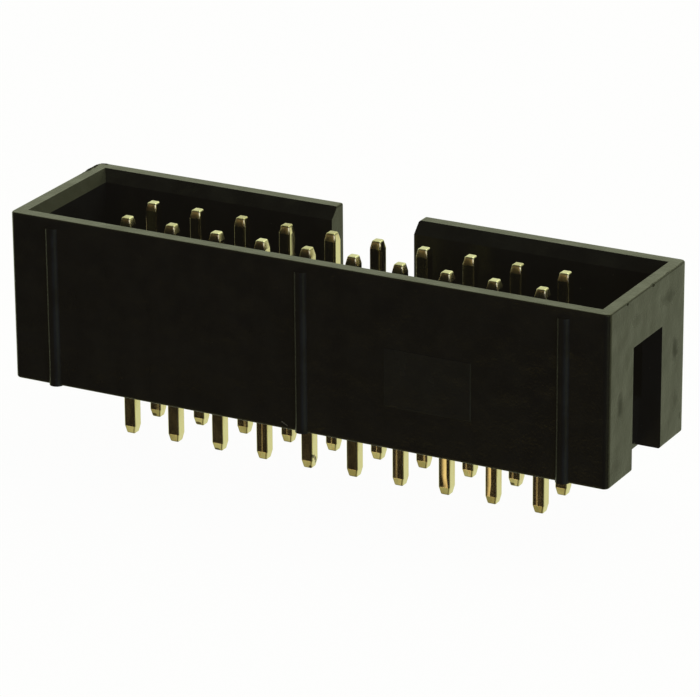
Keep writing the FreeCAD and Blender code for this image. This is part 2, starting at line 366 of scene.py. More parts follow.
def make_edge_wear(name):
    """A mask along the edges, broken into rubbed stretches."""
    tree, given, wanted = new_group(
        name,
        [("Width", FLOAT, 0.0001), ("Patch Size", FLOAT, 0.001), ("Cover", FLOAT, 0.5)],
        [("Mask", FLOAT)],
    )
    rounded = put(tree, "ShaderNodeBevel", {"Radius": given["Width"]}, samples=6).outputs["Normal"]
    turn = rest_of(tree, length_of(tree, "DOT_PRODUCT", rounded, surface_normal(tree)))
    edge = ramp(tree, turn, *EDGE_TURN)
    scale = inverse(tree, given["Patch Size"])
    patch = noise(tree, object_place(tree), scale, detail=4.0, roughness=0.65)
    lowered = calculate(tree, "MULTIPLY", given["Cover"], RUB_RANGE)
    threshold = calculate(tree, "SUBTRACT", RUB_THRESHOLD, lowered)
    above = calculate(tree, "SUBTRACT", patch, threshold)
    rubbed = ramp(tree, above, -RUB_SOFTNESS, RUB_SOFTNESS)
    tree.links.new(product(tree, edge, rubbed), wanted["Mask"])
    return tree


def make_specks(name):
    """A mask of small scattered specks."""
    tree, given, wanted = new_group(
        name,
        [("Spacing", FLOAT, 0.0005), ("Size", FLOAT, 0.00004), ("Cover", FLOAT, 0.5)],
        [("Mask", FLOAT)],
    )
    inputs = {"Vector": object_place(tree), "Scale": inverse(tree, given["Spacing"]), "Randomness": 1.0}
    cells = put(tree, "ShaderNodeTexVoronoi", inputs).outputs
    shares = put(tree, "ShaderNodeSeparateColor", {"Color": cells["Color"]}).outputs
    kept = calculate(tree, "LESS_THAN", shares[0], given["Cover"])
    radius = calculate(tree, "DIVIDE", given["Size"], given["Spacing"])
    own_radius = product(tree, radius, calculate(tree, "ADD", shares[1], SMALLEST_SPECK))
    reach = calculate(tree, "DIVIDE", cells["Distance"], own_radius)
    tree.links.new(product(tree, kept, ramp(tree, reach, 1.0, 0.5)), wanted["Mask"])
    return tree


def make_place_mark(name):
    """A mask for one soft-edged mark at a place on the part."""
    tree, given, wanted = new_group(
        name,
        [
            ("Centre", VECTOR, (0.0, 0.0, 0.0)),
            ("Reach", VECTOR, (0.001, 0.001, 0.001)),
            ("Raggedness", FLOAT, 0.3),
            ("Softness", FLOAT, 0.6),
        ],
        [("Mask", FLOAT)],
    )
    place = object_place(tree)
    offset = vector_of(tree, "DIVIDE", vector_of(tree, "SUBTRACT", place, given["Centre"]), given["Reach"])
    distance = length_of(tree, "LENGTH", offset)
    uneven = calculate(tree, "SUBTRACT", noise(tree, place, 1 / MARK_BUMP, detail=3.0), 0.5)
    ragged = calculate(tree, "MULTIPLY_ADD", uneven, given["Raggedness"], distance)
    tree.links.new(ramp(tree, ragged, 1.0, rest_of(tree, given["Softness"])), wanted["Mask"])
    return tree


def make_drawn_lines(name):
    """Fine lines and broad streaks along an upright wire."""
    tree, given, wanted = new_group(
        name,
        [("Line Width", FLOAT, 0.00005), ("Line Length", FLOAT, 0.002)],
        [("Height", FLOAT), ("Streak", FLOAT)],
    )
    across = inverse(tree, given["Line Width"])
    along = inverse(tree, given["Line Length"])
    place = vector_of(tree, "MULTIPLY", object_place(tree), joined(tree, across, across, along))
    broad_place = vector_of(tree, "ADD", vector_of(tree, "MULTIPLY", place, STREAK_FINENESS), STREAK_PLACE)
    tree.links.new(noise(tree, place, 1.0, detail=3.0, roughness=0.6), wanted["Height"])
    tree.links.new(noise(tree, broad_place, 1.0, detail=2.0), wanted["Streak"])
    return tree


def new_material(name, colour, metallic):
    """A material with its Principled shader, and the tree it stands in."""
    material = bpy.data.materials.new(name)
    material.use_nodes = True
    material.diffuse_color = opaque(colour)
    tree = material.node_tree
    tree.nodes.clear()
    shader = put(tree, "ShaderNodeBsdfPrincipled", {"Metallic": metallic})
    put(tree, "ShaderNodeOutputMaterial", {"Surface": shader.outputs[0]})
    return material, tree, shader


def uneven_roughness(tree, settings, mottle):
    """Roughness that follows the mottle."""
    half = settings.roughness_spread / 2
    return ramp(tree, mottle, *ROUGH_PATCHES, settings.roughness - half, settings.roughness + half)


def bumped(tree, height, **inputs):
    """A normal with relief of a height in metres."""
    inputs = {"Strength": 1.0, "Distance": 1.0, "Height": height, **inputs}
    return put(tree, "ShaderNodeBump", inputs).outputs[0]


# The housing's right end and front wall, in millimetres
END_FACE = 16.375
FRONT_FACE = -4.375

# Marks that handling has left on the housing: centre and reach in millimetres, and strength
SMUDGES = (
    ((END_FACE, 3.17, 4.61), (0.4, 0.48, 0.90), 1.0),
    ((END_FACE, -3.07, 3.75), (0.4, 0.46, 1.10), 1.0),
    ((END_FACE, 2.30, 7.55), (0.4, 1.30, 0.60), 0.7),
    ((END_FACE, -1.20, 7.60), (0.4, 0.90, 0.50), 0.5),
    ((END_FACE, -3.40, 0.90), (0.4, 0.60, 0.70), 0.5),
    ((END_FACE, 3.30, 1.90), (0.4, 0.45, 0.80), 0.5),
)
SCRATCHES = (
    ((END_FACE, 3.83, 0.95), (0.05, 0.035, 0.22), 1.0),
    ((16.36, 0.49, 8.70), (0.10, 0.20, 0.09), 1.0),
    ((16.37, -2.40, 8.69), (0.08, 0.16, 0.07), 1.0),
)
PALE_NICKS = (
    ((-1.06, FRONT_FACE, 0.36), (0.07, 0.06, 0.045), 1.0),
    ((-0.96, FRONT_FACE, 0.31), (0.08, 0.06, 0.045), 1.0),
    ((-0.86, FRONT_FACE, 0.25), (0.07, 0.06, 0.045), 1.0),
    ((-0.79, FRONT_FACE, 0.20), (0.05, 0.06, 0.040), 1.0),
)

# Dark nicks and stains on the contacts' ends, given in the same way
STAINS = (
    ((-0.95, -1.575, -2.43), (0.10, 0.15, 0.080), 1.0),
    ((-0.95, -1.42, -2.50), (0.10, 0.14, 0.105), 1.0),
    ((-0.95, -1.27, -2.64), (0.10, 0.12, 0.120), 1.0),
    ((-0.97, -1.19, -2.82), (0.10, 0.085, 0.15), 1.0),
    ((-1.10, -1.53, -3.03), (0.11, 0.12, 0.085), 1.0),
    ((-6.38, -1.53, -3.07), (0.21, 0.12, 0.090), 1.0),
    ((-11.52, 1.01, -3.00), (0.20, 0.12, 0.095), 1.0),
    ((-8.92, 1.01, -3.02), (0.23, 0.12, 0.090), 1.0),
    ((8.78, 1.01, -3.02), (0.21, 0.12, 0.090), 1.0),
)

# Borders of a smudge and of a nick
VAGUE = {"Raggedness": 0.9, "Softness": 0.9}
CRISP = {"Raggedness": 0.5, "Softness": 0.45}

# The marking panel's field, in millimetres
PANEL_CENTRE = (6.85, -4.4, 3.7)
PANEL_HALF = (2.33, 0.1, 1.48)

# The way that the rib flank with the painted highlight faces, how nearly a surface has to face it, how
# far out the ribs begin, and how the skin's patches vary the painted highlight
RIB_FLANK = (0.66, -0.75, 0.0)
RIB_FACING = (0.86, 0.985)
RIB_DEPTH = -4.395 * MM
FLANK_HIGHLIGHT_PATCHES = (0.1, 0.9, 0.35, 1.0)

# Refraction and gloss of the plastic, and the upright fineness of its patches
PLASTIC_IOR = 1.43
PLASTIC_GLOSS = 0.34
SKIN_STRETCH = 0.8

# The noise at which the skin's patches start and are full
SKIN_PATCHES = (0.32, 0.68)

# Darkest and lightest shade of the skin, and the shade of a scratch
SKIN_DARK = 0.82
SKIN_LIGHT = 1.2
SCRATCH_DARK = 0.3

# How much of the housing is rubbed or dusty, and how strongly it shows
WEAR_COVER = 0.35
WEAR_STRENGTH = 0.55
DUST_COVER = 0.3
DUST_STRENGTH = 0.5
PANEL_STRENGTH = 0.02
PANEL_COLOUR = (0.14, 0.19, 0.22)
NICK_COLOUR = (0.16, 0.16, 0.14)

# Roughness that a smudge, the panel and a scratch add, and the depth of a scratch
SMUDGE_ROUGHNESS = 0.34
PANEL_ROUGHNESS = 0.03
SCRATCH_ROUGHNESS = 0.5
SCRATCH_DEPTH = 0.02 * MM


def metres(point):
    """A point or reach given in millimetres."""
    return tuple(value * MM for value in point)


def gather_marks(tree, marks, border):
    """One mask for several marks, each as strong as it says."""
    total = None
    for centre, reach, strength in marks:
        inputs = {"Centre": metres(centre), "Reach": metres(reach), **border}
        mask = use_group(tree, "Place Mark", make_place_mark, inputs)["Mask"]
        weighted = product(tree, mask, strength)
        total = weighted if total is None else calculate(tree, "MAXIMUM", total, weighted)
    return total


def inside_box(tree, centre, half):
    """A mask for the inside of an upright box."""
    offset = vector_of(tree, "ABSOLUTE", vector_of(tree, "SUBTRACT", object_place(tree), centre))
    sides = zip(parts_of(tree, offset), half)
    return product(tree, *[calculate(tree, "LESS_THAN", side, reach) for side, reach in sides])


def rib_flank_highlight(tree, patch):
    """A mask for the painted highlight on the ribs' flanks that face front and right, stronger in some
    patches.
    """
    facing = length_of(tree, "DOT_PRODUCT", surface_normal(tree), RIB_FLANK)
    on_rib = calculate(tree, "LESS_THAN", parts_of(tree, object_place(tree))["Y"], RIB_DEPTH)
    return product(tree, ramp(tree, facing, *RIB_FACING), on_rib, ramp(tree, patch, *FLANK_HIGHLIGHT_PATCHES))


def make_plastic(settings):
    """Black moulded plastic with a fine skin, mottle, dust, rubbed edges and a few handling marks."""
    material, tree, shader = new_material("Moulded Plastic", settings.colour, 0.0)
    shader.inputs["IOR"].default_value = PLASTIC_IOR
    shader.inputs["Specular IOR Level"].default_value = PLASTIC_GLOSS
    shader.inputs["Specular Tint"].default_value = opaque(settings.gloss_tint)

    grain = use_group(tree, "Grain", make_grain, {
        "Grain Size": settings.grain_size, "Mottle Size": settings.mottle_size, "Stretch": SKIN_STRETCH,
    })
    wear = use_group(tree, "Edge Wear", make_edge_wear, {
        "Width": settings.edge_width, "Patch Size": settings.edge_patch, "Cover": WEAR_COVER,
    })["Mask"]
    dust = use_group(tree, "Specks", make_specks, {
        "Spacing": settings.speck_spacing, "Size": settings.speck_size, "Cover": DUST_COVER,
    })["Mask"]
    smudge = gather_marks(tree, SMUDGES, VAGUE)
    scratch = gather_marks(tree, SCRATCHES, CRISP)
    pale = gather_marks(tree, PALE_NICKS, CRISP)
    panel = inside_box(tree, metres(PANEL_CENTRE), metres(PANEL_HALF))

    patch = ramp(tree, grain["Mottle"], *SKIN_PATCHES)
    darker = shaded(settings.colour, SKIN_DARK)
    lighter = shaded(settings.colour, SKIN_LIGHT)
    skin = blend_colours(tree, patch, darker, lighter)
    dusty = tint(tree, skin, dust, DUST_STRENGTH, opaque(settings.dust_colour))
    worn = tint(tree, dusty, wear, WEAR_STRENGTH, opaque(settings.worn_colour))
    scratched = blend_colours(tree, scratch, worn, shaded(settings.colour, SCRATCH_DARK))
    nicked = blend_colours(tree, pale, scratched, opaque(NICK_COLOUR))
    matt = tint(tree, nicked, panel, PANEL_STRENGTH, opaque(PANEL_COLOUR))
    # Painted highlight: the ribs' flanks that face front and right are made pale and bluish
    flank_highlighted = blend_colours(tree, rib_flank_highlight(tree, patch), matt, opaque(settings.flank_highlight_colour))
    tree.links.new(flank_highlighted, shader.inputs["Base Color"])

    skin_roughness = uneven_roughness(tree, settings, grain["Mottle"])
    smudged = calculate(tree, "MULTIPLY_ADD", smudge, SMUDGE_ROUGHNESS, skin_roughness)
    matted = calculate(tree, "MULTIPLY_ADD", panel, PANEL_ROUGHNESS, smudged)
    scuffed = calculate(tree, "MULTIPLY_ADD", scratch, SCRATCH_ROUGHNESS, matted, clamp=True)
    tree.links.new(scuffed, shader.inputs["Roughness"])

    height = product(tree, grain["Height"], settings.grain_depth)
    swell = product(tree, grain["Swell"], settings.swell_depth)
    cut = product(tree, scratch, -SCRATCH_DEPTH)
    relief = calculate(tree, "ADD", calculate(tree, "ADD", height, swell), cut)
    tree.links.new(bumped(tree, relief), shader.inputs["Normal"])
    return material


# Patches, rubbed edges and specks of the plating
PLATING_PATCH = 0.25 * MM
PLATING_STRETCH = 0.3
CONTACT_WEAR = {"Width": 0.04 * MM, "Patch Size": 0.35 * MM, "Cover": 0.45}
CONTACT_SPECKS = {"Spacing": 0.3 * MM, "Size": 0.022 * MM, "Cover": 0.22}

# How strongly each effect shows in the plating's colour
STREAK_STRENGTH = 0.7
COINED_STRENGTH = 0.45
RUBBED_STRENGTH = 0.3
SPECK_STRENGTH = 0.6
STAIN_STRENGTH = 0.85
# Strength of the painted shade on the contacts' fronts inside the box
BOX_SHADE_STRENGTH = 0.55

# The film's deeper shade, and the colours of specks, stains and the painted shade on the fronts inside the
# box
FILM_DEEP = 0.88
SPECK_COLOUR = (0.16, 0.13, 0.07)
STAIN_COLOUR = (0.05, 0.045, 0.025)
BOX_SHADE_COLOUR = (0.20, 0.17, 0.10)

# Heights between which painted shade darkens the fronts, and where a face counts as the front
BOX_SHADE_HEIGHTS = (1.0 * MM, 3.0 * MM)
FRONT_SHARE = -0.7

# Width of the noise that makes some contacts' ends duller than others', and where it starts and is full
DULL_PATCH = 3.1 * MM
DULL_NOISE = (0.60, 0.36)

# Where the cut ends start and are full, from the contact's top and from its foot
TOP_END = (0.14 * MM, 0.06 * MM)
TAIL_END = (0.07 * MM, 0.02 * MM)

# How softly a tip starts, and where a stripe starts to bend and is fully bent above the foot, in tip
# lengths
TOP_BLUR = 0.1
TAIL_BLUR = 0.02
BEND_START = 2.6
BEND_END = 0.9

# A streak shows where the noise is above the threshold. Full cover lowers that by the range.
STREAK_THRESHOLD = 0.72
STREAK_RANGE = 0.3
STREAK_SOFTNESS = 0.1

# The noise at which the coppery patches of the coined tips start and are full
COINED_PATCHES = (0.38, 0.62)

# Width of the soft end of a stripe, as a share of half a face, and how the streaks vary its strength
STRIPE_FALL = 0.2
STRIPE_STREAKS = (0.2, 0.6, 0.75, 1.0)


def face_shares(tree, axes):
    """How far to the right and to the rear of its own contact a point is, as shares of half a face."""
    shares = []
    for axis in axes[:2]:
        step = calculate(tree, "FRACT", calculate(tree, "DIVIDE", axis, PITCH))
        centred = calculate(tree, "SUBTRACT", step, 0.5)
        shares.append(product(tree, centred, PITCH / HALF_FACE))
    return shares


def make_plating(name, settings, crown, streak_cover, stripe):
    """Gold plating over drawn wire.

    The crown is the slope at the sides of a slightly domed face. The stripe is burnished along the
    wire: its start, its brightest line and its end, as shares of half a face, its strength, and how
    far it bends aside and fades towards the tail's end."""
    material, tree, shader = new_material(name, settings.colour, 1.0)

    grain = use_group(tree, "Grain", make_grain, {
        "Grain Size": settings.grain_size, "Mottle Size": PLATING_PATCH, "Stretch": PLATING_STRETCH,
    })
    lines = use_group(tree, "Drawn Lines", make_drawn_lines, {
        "Line Width": settings.line_width, "Line Length": settings.line_length,
    })
    wear = use_group(tree, "Edge Wear", make_edge_wear, CONTACT_WEAR)["Mask"]
    specks = use_group(tree, "Specks", make_specks, CONTACT_SPECKS)["Mask"]
    stain = gather_marks(tree, STAINS, CRISP)

    # Where on the contact the point is
    axes = parts_of(tree, object_place(tree))
    height = axes["Z"]
    shares = face_shares(tree, axes)
    top_blur = TOP_BLUR * TIP_LENGTH
    tail_blur = TAIL_BLUR * TIP_LENGTH
    in_top = ramp(tree, height, TOP_TIP - top_blur, TOP_TIP + top_blur)
    in_tail = ramp(tree, height, TAIL_TIP + tail_blur, TAIL_TIP - tail_blur)
    top_end = ramp(tree, height, *[PIN_HEAD - length for length in TOP_END])
    tail_end = ramp(tree, height, *[PIN_FOOT + length for length in TAIL_END])
    end = calculate(tree, "MAXIMUM", top_end, tail_end)
    aside_x = calculate(tree, "ABSOLUTE", shares[0])
    aside_y = calculate(tree, "ABSOLUTE", shares[1])
    front_or_back = calculate(tree, "GREATER_THAN", aside_y, aside_x)
    front_row = calculate(tree, "LESS_THAN", axes["Y"], 0.0)
    coined_face = product(tree, in_top, front_or_back)

    # The film is thin along the streaks and on the coined tips
    threshold = STREAK_THRESHOLD - STREAK_RANGE * streak_cover
    streak = ramp(tree, lines["Streak"], threshold, threshold + STREAK_SOFTNESS)
    coined = product(tree, coined_face, ramp(tree, grain["Mottle"], *COINED_PATCHES))
    streak_share = product(tree, streak, STREAK_STRENGTH)
    coined_share = product(tree, coined, COINED_STRENGTH)
    thin = calculate(tree, "MAXIMUM", streak_share, coined_share)
    copper = opaque(settings.copper_colour)
    deep = shaded(settings.colour, FILM_DEEP)
    film = blend_colours(tree, grain["Mottle"], deep, opaque(settings.colour))
    streaked = blend_colours(tree, thin, film, copper)
    rubbed = tint(tree, streaked, wear, RUBBED_STRENGTH, copper)
    dull = blend_colours(tree, end, rubbed, opaque(settings.end_colour))
    spotted = tint(tree, dull, specks, SPECK_STRENGTH, opaque(SPECK_COLOUR))
    stained = tint(tree, spotted, stain, STAIN_STRENGTH, opaque(STAIN_COLOUR))

    # Some contacts have duller ends than others. On the tails only the front and back chamfers are
    # darkened, which is painted shade.
    own = noise(tree, object_place(tree), 1 / DULL_PATCH, detail=1.0)
    dullness = ramp(tree, own, *DULL_NOISE)
    dull_ends_and_shaded_tails = calculate(tree, "MAXIMUM", product(tree, in_tail, front_or_back), top_end)
    duller = vector_of(tree, "MULTIPLY", stained, tuple(settings.end_dull_and_shade_tint))
    finished = blend_colours(tree, product(tree, dull_ends_and_shaded_tails, dullness), stained, duller)

    # Painted shade: the fronts of the wires inside the box are darkened below their tips
    wire = product(tree, ramp(tree, height, *BOX_SHADE_HEIGHTS), rest_of(tree, in_top))
    shaded_front = product(tree, wire, calculate(tree, "LESS_THAN", shares[1], FRONT_SHARE))
    film_shaded = tint(tree, finished, shaded_front, BOX_SHADE_STRENGTH, opaque(BOX_SHADE_COLOUR))
    tree.links.new(film_shaded, shader.inputs["Base Color"])

    # Coined faces are rougher, and in the front row the tips' sides too
    drawn = uneven_roughness(tree, settings, grain["Mottle"])
    rough_tip = calculate(tree, "MAXIMUM", coined_face, product(tree, in_top, front_row))
    rough = calculate(tree, "MULTIPLY_ADD", rough_tip, settings.tip_roughness, drawn)
    tree.links.new(rough, shader.inputs["Roughness"])

    # A burnished stripe faces down a little
    begin, brightest, finish, strength, aside = stripe
    bend_start = PIN_FOOT + BEND_START * TIP_LENGTH
    bend_end = PIN_FOOT + BEND_END * TIP_LENGTH
    near_end = ramp(tree, height, bend_start, bend_end)
    across = calculate(tree, "MULTIPLY_ADD", near_end, -aside, shares[0])
    rising = ramp(tree, across, begin, brightest)
    falling = ramp(tree, across, finish, finish - STRIPE_FALL)
    uneven = ramp(tree, lines["Streak"], *STRIPE_STREAKS)
    fading = calculate(tree, "MULTIPLY_ADD", near_end, -abs(aside), uneven)
    burnish = product(tree, rising, falling, fading)
    tilt = product(tree, burnish, -settings.stripe_tilt * strength)

    # The faces are slightly domed, and the tips' faces more
    half_tip = TIP_LENGTH / 2
    above_middle = calculate(tree, "SUBTRACT", height, TOP_TIP + half_tip)
    rise = product(tree, in_top, calculate(tree, "DIVIDE", above_middle, half_tip))
    lift = calculate(tree, "MULTIPLY_ADD", rise, settings.tip_dome, tilt)
    domed = calculate(tree, "SUBTRACT", in_top, end, clamp=True)
    bend = calculate(tree, "MULTIPLY_ADD", domed, settings.tip_dome, crown)
    lean = joined(tree, product(tree, shares[0], bend), product(tree, shares[1], bend), lift)
    leaning = vector_of(tree, "NORMALIZE", vector_of(tree, "ADD", surface_normal(tree), lean))
    grained = product(tree, grain["Height"], settings.grain_depth)
    relief = calculate(tree, "MULTIPLY_ADD", lines["Height"], settings.line_depth, grained)
    tree.links.new(bumped(tree, relief, Normal=leaning), shader.inputs["Normal"])
    return material


# Name, crown, cover of the streaks, stripe and contacts. A stripe has its start, its brightest line,
# its end, its strength and how far it bends aside and fades towards the tail's end.
CONTACT_FINISHES = (
    ("Gold Plating", 0.02, 0.30, (-0.1, 0.0, 0.1, 0.0, 0.0), (1, 2, 3, 5, 6, 12, 20)),
    ("Gold Plating Broad Stripe", 0.02, 0.40, (-0.75, 0.15, 0.52, 0.93, 0.22), (8,)),
    ("Gold Plating Left Stripe", 0.02, 0.40, (-0.85, -0.05, 0.15, 1.0, -0.15), (9,)),
    ("Gold Plating Thin Stripe", 0.03, 0.45, (-0.10, 0.1, 0.30, 0.58, 0.0), (4, 14, 15, 16)),
    ("Gold Plating Right Stripe", -0.04, 0.45, (0.0, 0.45, 0.85, 0.62, 0.0), (11, 13, 17)),
    ("Gold Plating Faint Stripe", 0.05, 0.40, (-0.5, -0.2, 0.1, 0.50, 0.0), (7, 10, 18, 19)),
)


def set_material(obj, material):
    """Puts a material in every slot of an object."""
    if not obj.data.materials:
        obj.data.materials.append(material)
    for index in range(len(obj.data.materials)):
        obj.data.materials[index] = material


def add_object(name, data):
    """An object in the scene."""
    obj = bpy.data.objects.new(name, data)
    bpy.context.scene.collection.objects.link(obj)
    return obj


def add_mesh(name, mesh):
    """An object in the scene with the faces that were drawn."""
    data = bpy.data.meshes.new(name)
    mesh.to_mesh(data)
    mesh.free()
    return add_object(name, data)


# Mould flash

# The ragged edge: how much a tooth may differ from the last one, the lowest tooth, how suddenly the
# fin ends, and how far a tooth leans aside or along
TOOTH_CHANGE = 0.42
LOWEST_TOOTH = 0.12
FIN_END = 0.35
TOOTH_LEAN = 0.25

# Thickness at the surface and at the free edge, as shares of the root's
FIN_FOOT = 0.9
FIN_EDGE = 0.25


def ragged_fin(name, start, end, side, settings, height_share, seed):
    """A thin upright fin of flash: rooted in the moulding, ragged along its free edge."""
    rng = random.Random(seed)
    start, end = Vector(start), Vector(end)
    up, side = Vector((0.0, 0.0, 1.0)), Vector(side)
    along = (end - start).normalized()
    steps = max(3, round((end - start).length / settings.step))
    mesh = bmesh.new()
    rings = []
    reach = 0.5
    for index in range(steps + 1):
        share = index / steps
        inner = 0 < index < steps
        reach = min(1.0, max(LOWEST_TOOTH, reach + rng.uniform(-TOOTH_CHANGE, TOOTH_CHANGE)))
        fade = math.sin(math.pi * share) ** FIN_END if inner else 0.0
        tooth = LOWEST_TOOTH + (1.0 - LOWEST_TOOTH) * reach * fade
        height = settings.height * height_share * tooth
        lean = side * rng.uniform(-TOOTH_LEAN, TOOTH_LEAN) * settings.thickness
        jitter = rng.uniform(-TOOTH_LEAN, TOOTH_LEAN) * settings.step if inner else 0.0
        base = start.lerp(end, share) + along * jitter
        edge = base + up * height + lean
        half = side * settings.thickness / 2
        rings.append([mesh.verts.new(corner) for corner in (
            base - half - up * settings.root,
            base - half * FIN_FOOT,
            edge - half * FIN_EDGE,
            edge + half * FIN_EDGE,
            base + half * FIN_FOOT,
            base + half - up * settings.root,
        )])
    count = len(rings[0])
    for first, second in zip(rings, rings[1:]):
        for corner in range(count):
            after = (corner + 1) % count
            mesh.faces.new((first[corner], second[corner], second[after], first[after]))
    mesh.faces.new(rings[0])
    mesh.faces.new(list(reversed(rings[-1])))
    bmesh.ops.recalc_face_normals(mesh, faces=mesh.faces)
    return add_mesh(name, mesh)


# Operators


class BOXHEADER_OT_housing(bpy.types.Operator):
    """Gives the moulded housing its plastic"""

    bl_idname = "box_header.housing"
    bl_label = "Housing"

    def execute(self, context):
        set_material(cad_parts["housing"], make_plastic(context.scene.box_header_housing))
        return {"FINISHED"}


class BOXHEADER_OT_contacts(bpy.types.Operator):
    """Gives the contacts their plating"""

    bl_idname = "box_header.contacts"
    bl_label = "Contacts"

    def execute(self, context):
        settings = context.scene.box_header_contacts
        finishes = {}
        for name, crown, cover, stripe, numbers in CONTACT_FINISHES:
            plating = make_plating(name, settings, crown, cover, stripe)
            finishes.update({number: plating for number in numbers})
        for number, name in enumerate(PIN_NAMES, start=1):
            set_material(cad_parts[name], finishes[number])
        return {"FINISHED"}


class BOXHEADER_OT_flash(bpy.types.Operator):
    """Adds the ragged mould flash along a few outer edges"""

    bl_idname = "box_header.flash"
    bl_label = "Mould Flash"

    def execute(self, context):
        settings = context.scene.box_header_flash
        plastic = bpy.data.materials["Moulded Plastic"]
        left, right = HOUSING_LOW.x, HOUSING_HIGH.x
        rear, top = HOUSING_HIGH.y, HOUSING_HIGH.z
        inset = 0.075 * MM
        rim_end = rear - 0.25 * MM
        left_start = (left + inset, 2.4 * MM)
        right_start = (right - inset, 0.3 * MM)
        corner_start = (left + 0.13 * MM, rear - 0.17 * MM)
        corner_end = (left + 0.5 * MM, rear - inset)
        # Name, start, end, the way across the fin, height and seed
        fins = (
            ("flash_rim_left", left_start, (left + inset, rim_end), (1, 0, 0), 0.8, 3),
            ("flash_corner_left", corner_start, corner_end, (0, 1, 0), 1.0, 8),
            ("flash_rim_right", right_start, (right - inset, rim_end), (1, 0, 0), 0.5, 5),
        )
        for name, start, end, side, share, seed in fins:
            fin = ragged_fin(name, (*start, top), (*end, top), side, settings, share, seed)
            set_material(fin, plastic)
            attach(fin, "root")
        return {"FINISHED"}


class BOXHEADER_OT_stage(bpy.types.Operator):
    """Adds the pale floor, the soft studio light and the camera"""

    bl_idname = "box_header.stage"
    bl_label = "Stage"

    def execute(self, context):
        settings = context.scene.box_header_stage
        make_floor(settings)
        make_studio_light(settings)
        make_softbox(settings)
        make_camera(settings)
        context.scene.view_settings.view_transform = "Standard"
        soften_blacks(context.scene.view_settings)
        return {"FINISHED"}


# Stage

# Black point of the view, below zero so that the darkest tones are lifted and warm
BLACK_LEVEL = (-0.0042, -0.0036, -0.0027)

# The floor's own light, its dark paper below that light, and the light of the backdrop beyond it
FLOOR_LIGHT = 0.975
FLOOR_PAPER = 0.02
FLOOR_ROUGHNESS = 0.9
BACKDROP_LIGHT = 0.99

# How far round the sweep reaches on each side
LEFT_REACH = 0.25
RIGHT_REACH = 0.08

# Brightness of the sweep's upper part on the right and of its foot, beside the rest of it
SWEEP_RIGHT = 0.58
SWEEP_FOOT = 0.3

# Where the light starts to change and where it has changed. Each is the share of the whole way that
# leads to the rear for the sweep, to the right for its right side and the glow's left side, and up
# for the rest.
BEHIND = (-0.05, 0.25)
RIGHT_SIDE = (-0.1, 0.5)
EYE_LEVEL = (-0.35, 0.28)
FOOT_LEVEL = (-0.70, -0.90)
GLOW_FOOT = (-0.1, 0.05)
GLOW_HEAD = (0.5, 0.3)
GLOW_LEFT = (-0.80, -0.40)

# Round patches of light: the way to the middle, and the inner and outer angle in degrees
LEFT_TABLE = ((-0.40, -0.50, -0.76), 13, 22)
RIGHT_TABLE = ((0.62, -0.25, -0.74), 18, 30)
WINDOW = ((0.82, -0.53, 0.15), 18, 26)
LAMP = ((-0.388, -0.724, -0.57), 2, 8)

SOFTBOX_LENGTH = 0.30
SOFTBOX_WIDTH = 0.22
SOFTBOX_PLACE = (0.10, 0.16, 0.26)

# Width of the camera's sensor in millimetres, and the range that it sees
SENSOR_WIDTH = 36.0
NEAREST = 0.01
FARTHEST = 10.0


def soften_blacks(view):
    """Lifts the darkest tones a little and warms them, as a lens does against a white background."""
    view.use_curve_mapping = True
    view.curve_mapping.black_level = BLACK_LEVEL
    view.curve_mapping.update()


def make_floor(settings):
    """A plain floor under the contacts' tips, seen from above only."""
    mesh = bmesh.new()
    half = settings.floor_size / 2
    corners = ((-half, -half), (half, -half), (half, half), (-half, half))
    mesh.faces.new([mesh.verts.new((x, y, CAD_LOW.z)) for x, y in corners])
    floor = add_mesh("floor", mesh)

    material = bpy.data.materials.new("Pale Floor")
    material.use_nodes = True
    tree = material.node_tree
    tree.nodes.clear()
    paper = put(
        tree, "ShaderNodeBsdfPrincipled",
        {
            "Base Color": shaded(settings.floor_colour, FLOOR_PAPER),
            "Roughness": FLOOR_ROUGHNESS,
            "Specular IOR Level": 0.0,
            "Emission Color": opaque(settings.floor_colour),
            "Emission Strength": FLOOR_LIGHT,
        },
    ).outputs[0]
    clear = put(tree, "ShaderNodeBsdfTransparent").outputs[0]
    below = put(tree, "ShaderNodeNewGeometry").outputs["Backfacing"]
    surface = put(tree, "ShaderNodeMixShader", {0: below, 1: paper, 2: clear}).outputs[0]
    put(tree, "ShaderNodeOutputMaterial", {"Surface": surface})
    set_material(floor, material)
    floor.visible_glossy = False
    floor.visible_diffuse = False
    floor.visible_shadow = False


def patch_of_light(tree, direction, centre, inner, outer):
    """A soft round patch of light, full up to its inner angle and gone beyond its outer one."""
    aim = Vector(centre).normalized()
    nearness = length_of(tree, "DOT_PRODUCT", direction, tuple(aim))
    return ramp(tree, nearness, math.cos(math.radians(outer)), math.cos(math.radians(inner)))


